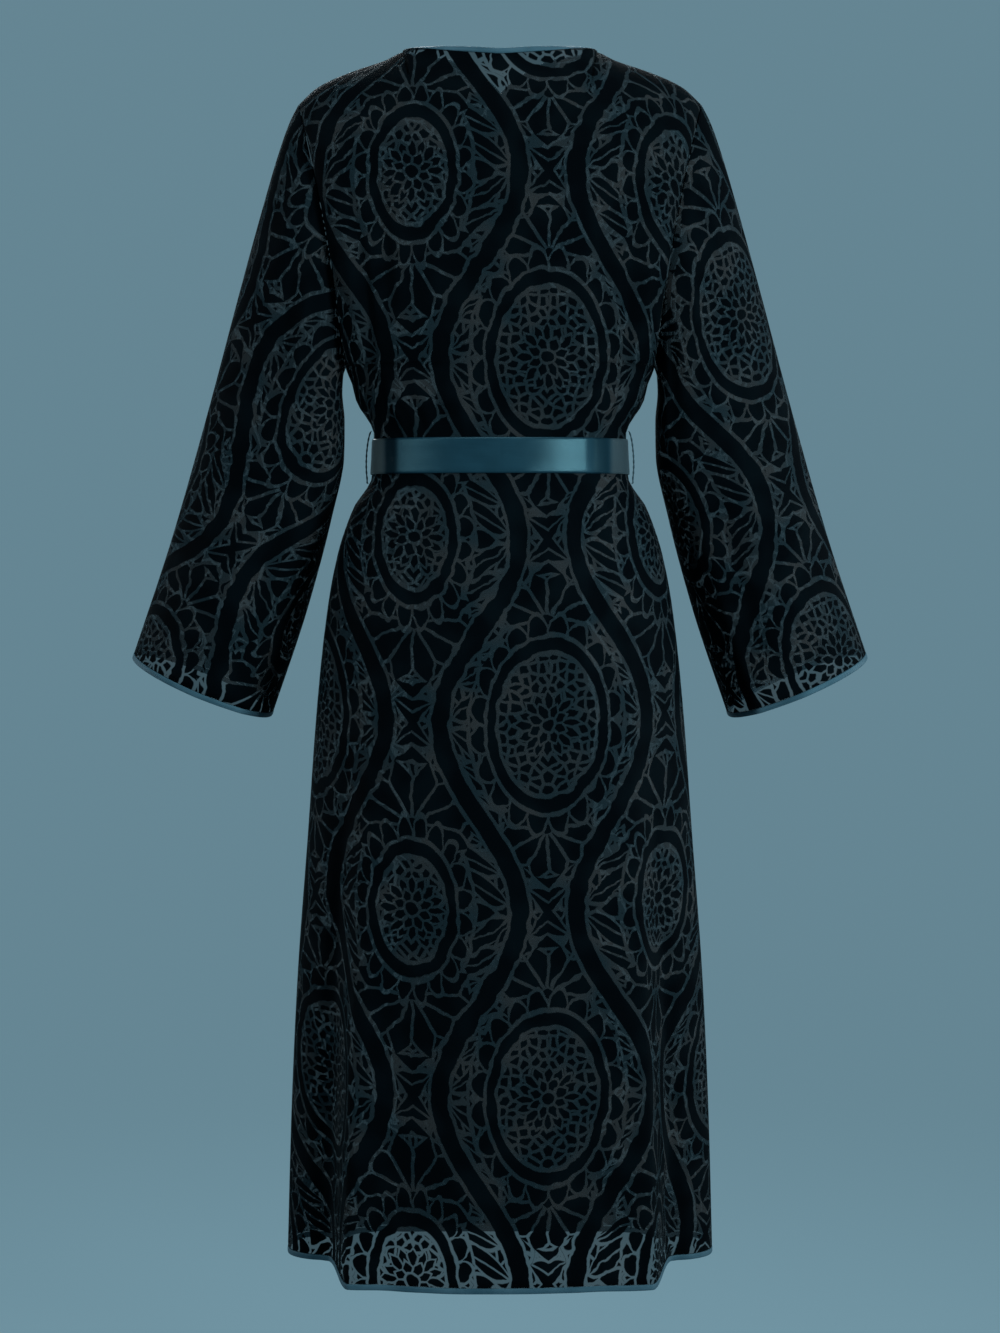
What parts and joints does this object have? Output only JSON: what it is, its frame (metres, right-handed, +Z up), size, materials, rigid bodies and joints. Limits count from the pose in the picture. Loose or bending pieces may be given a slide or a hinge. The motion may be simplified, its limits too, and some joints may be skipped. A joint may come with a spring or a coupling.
{
  "type": "kimono robe",
  "caption": "Long wrap robe with wide set-in sleeves, crossed fronts, narrow satin binding and a knotted satin sash, shown worn and hollow.",
  "frame": {"origin": "midway between the shoulders, at the height of the back neckline, where the robe hangs from the wearer", "axes": "+Z up, along the robe from hem to neck; -Y towards the wearer's front; +X towards the wearer's left"},
  "size_m": [0.7766, 0.2988, 1.2476],
  "materials": {
    "devore_velvet": "burn-out velvet: dark navy pile in leaf shapes on a sheer teal-grey ground",
    "satin_binding": "blue satin, folded over the edge",
    "satin_sash": "blue satin with soft creases",
    "thread": "plaited dark thread"
  },
  "bodies": {
    "root": {"back": "devore_velvet", "back_skirt": "devore_velvet", "front_left": "devore_velvet", "front_left_skirt": "devore_velvet", "front_right": "devore_velvet", "front_right_skirt": "devore_velvet", "sleeve_left": "devore_velvet", "sleeve_left_front": "devore_velvet", "sleeve_right": "devore_velvet", "sleeve_right_front": "devore_velvet", "binding_neck": "satin_binding", "binding_edge_left": "satin_binding", "binding_edge_left_skirt": "satin_binding", "binding_edge_right": "satin_binding", "binding_edge_right_skirt": "satin_binding", "binding_hem_back": "satin_binding", "binding_hem_left": "satin_binding", "binding_hem_right": "satin_binding", "binding_cuff_left": "satin_binding", "binding_cuff_right": "satin_binding", "belt_band": "satin_sash", "belt_knot": "satin_sash", "belt_tail_left": "satin_sash", "belt_tail_right": "satin_sash", "belt_loop_left": "thread", "belt_loop_right": "thread"}
  },
  "joints": []
}
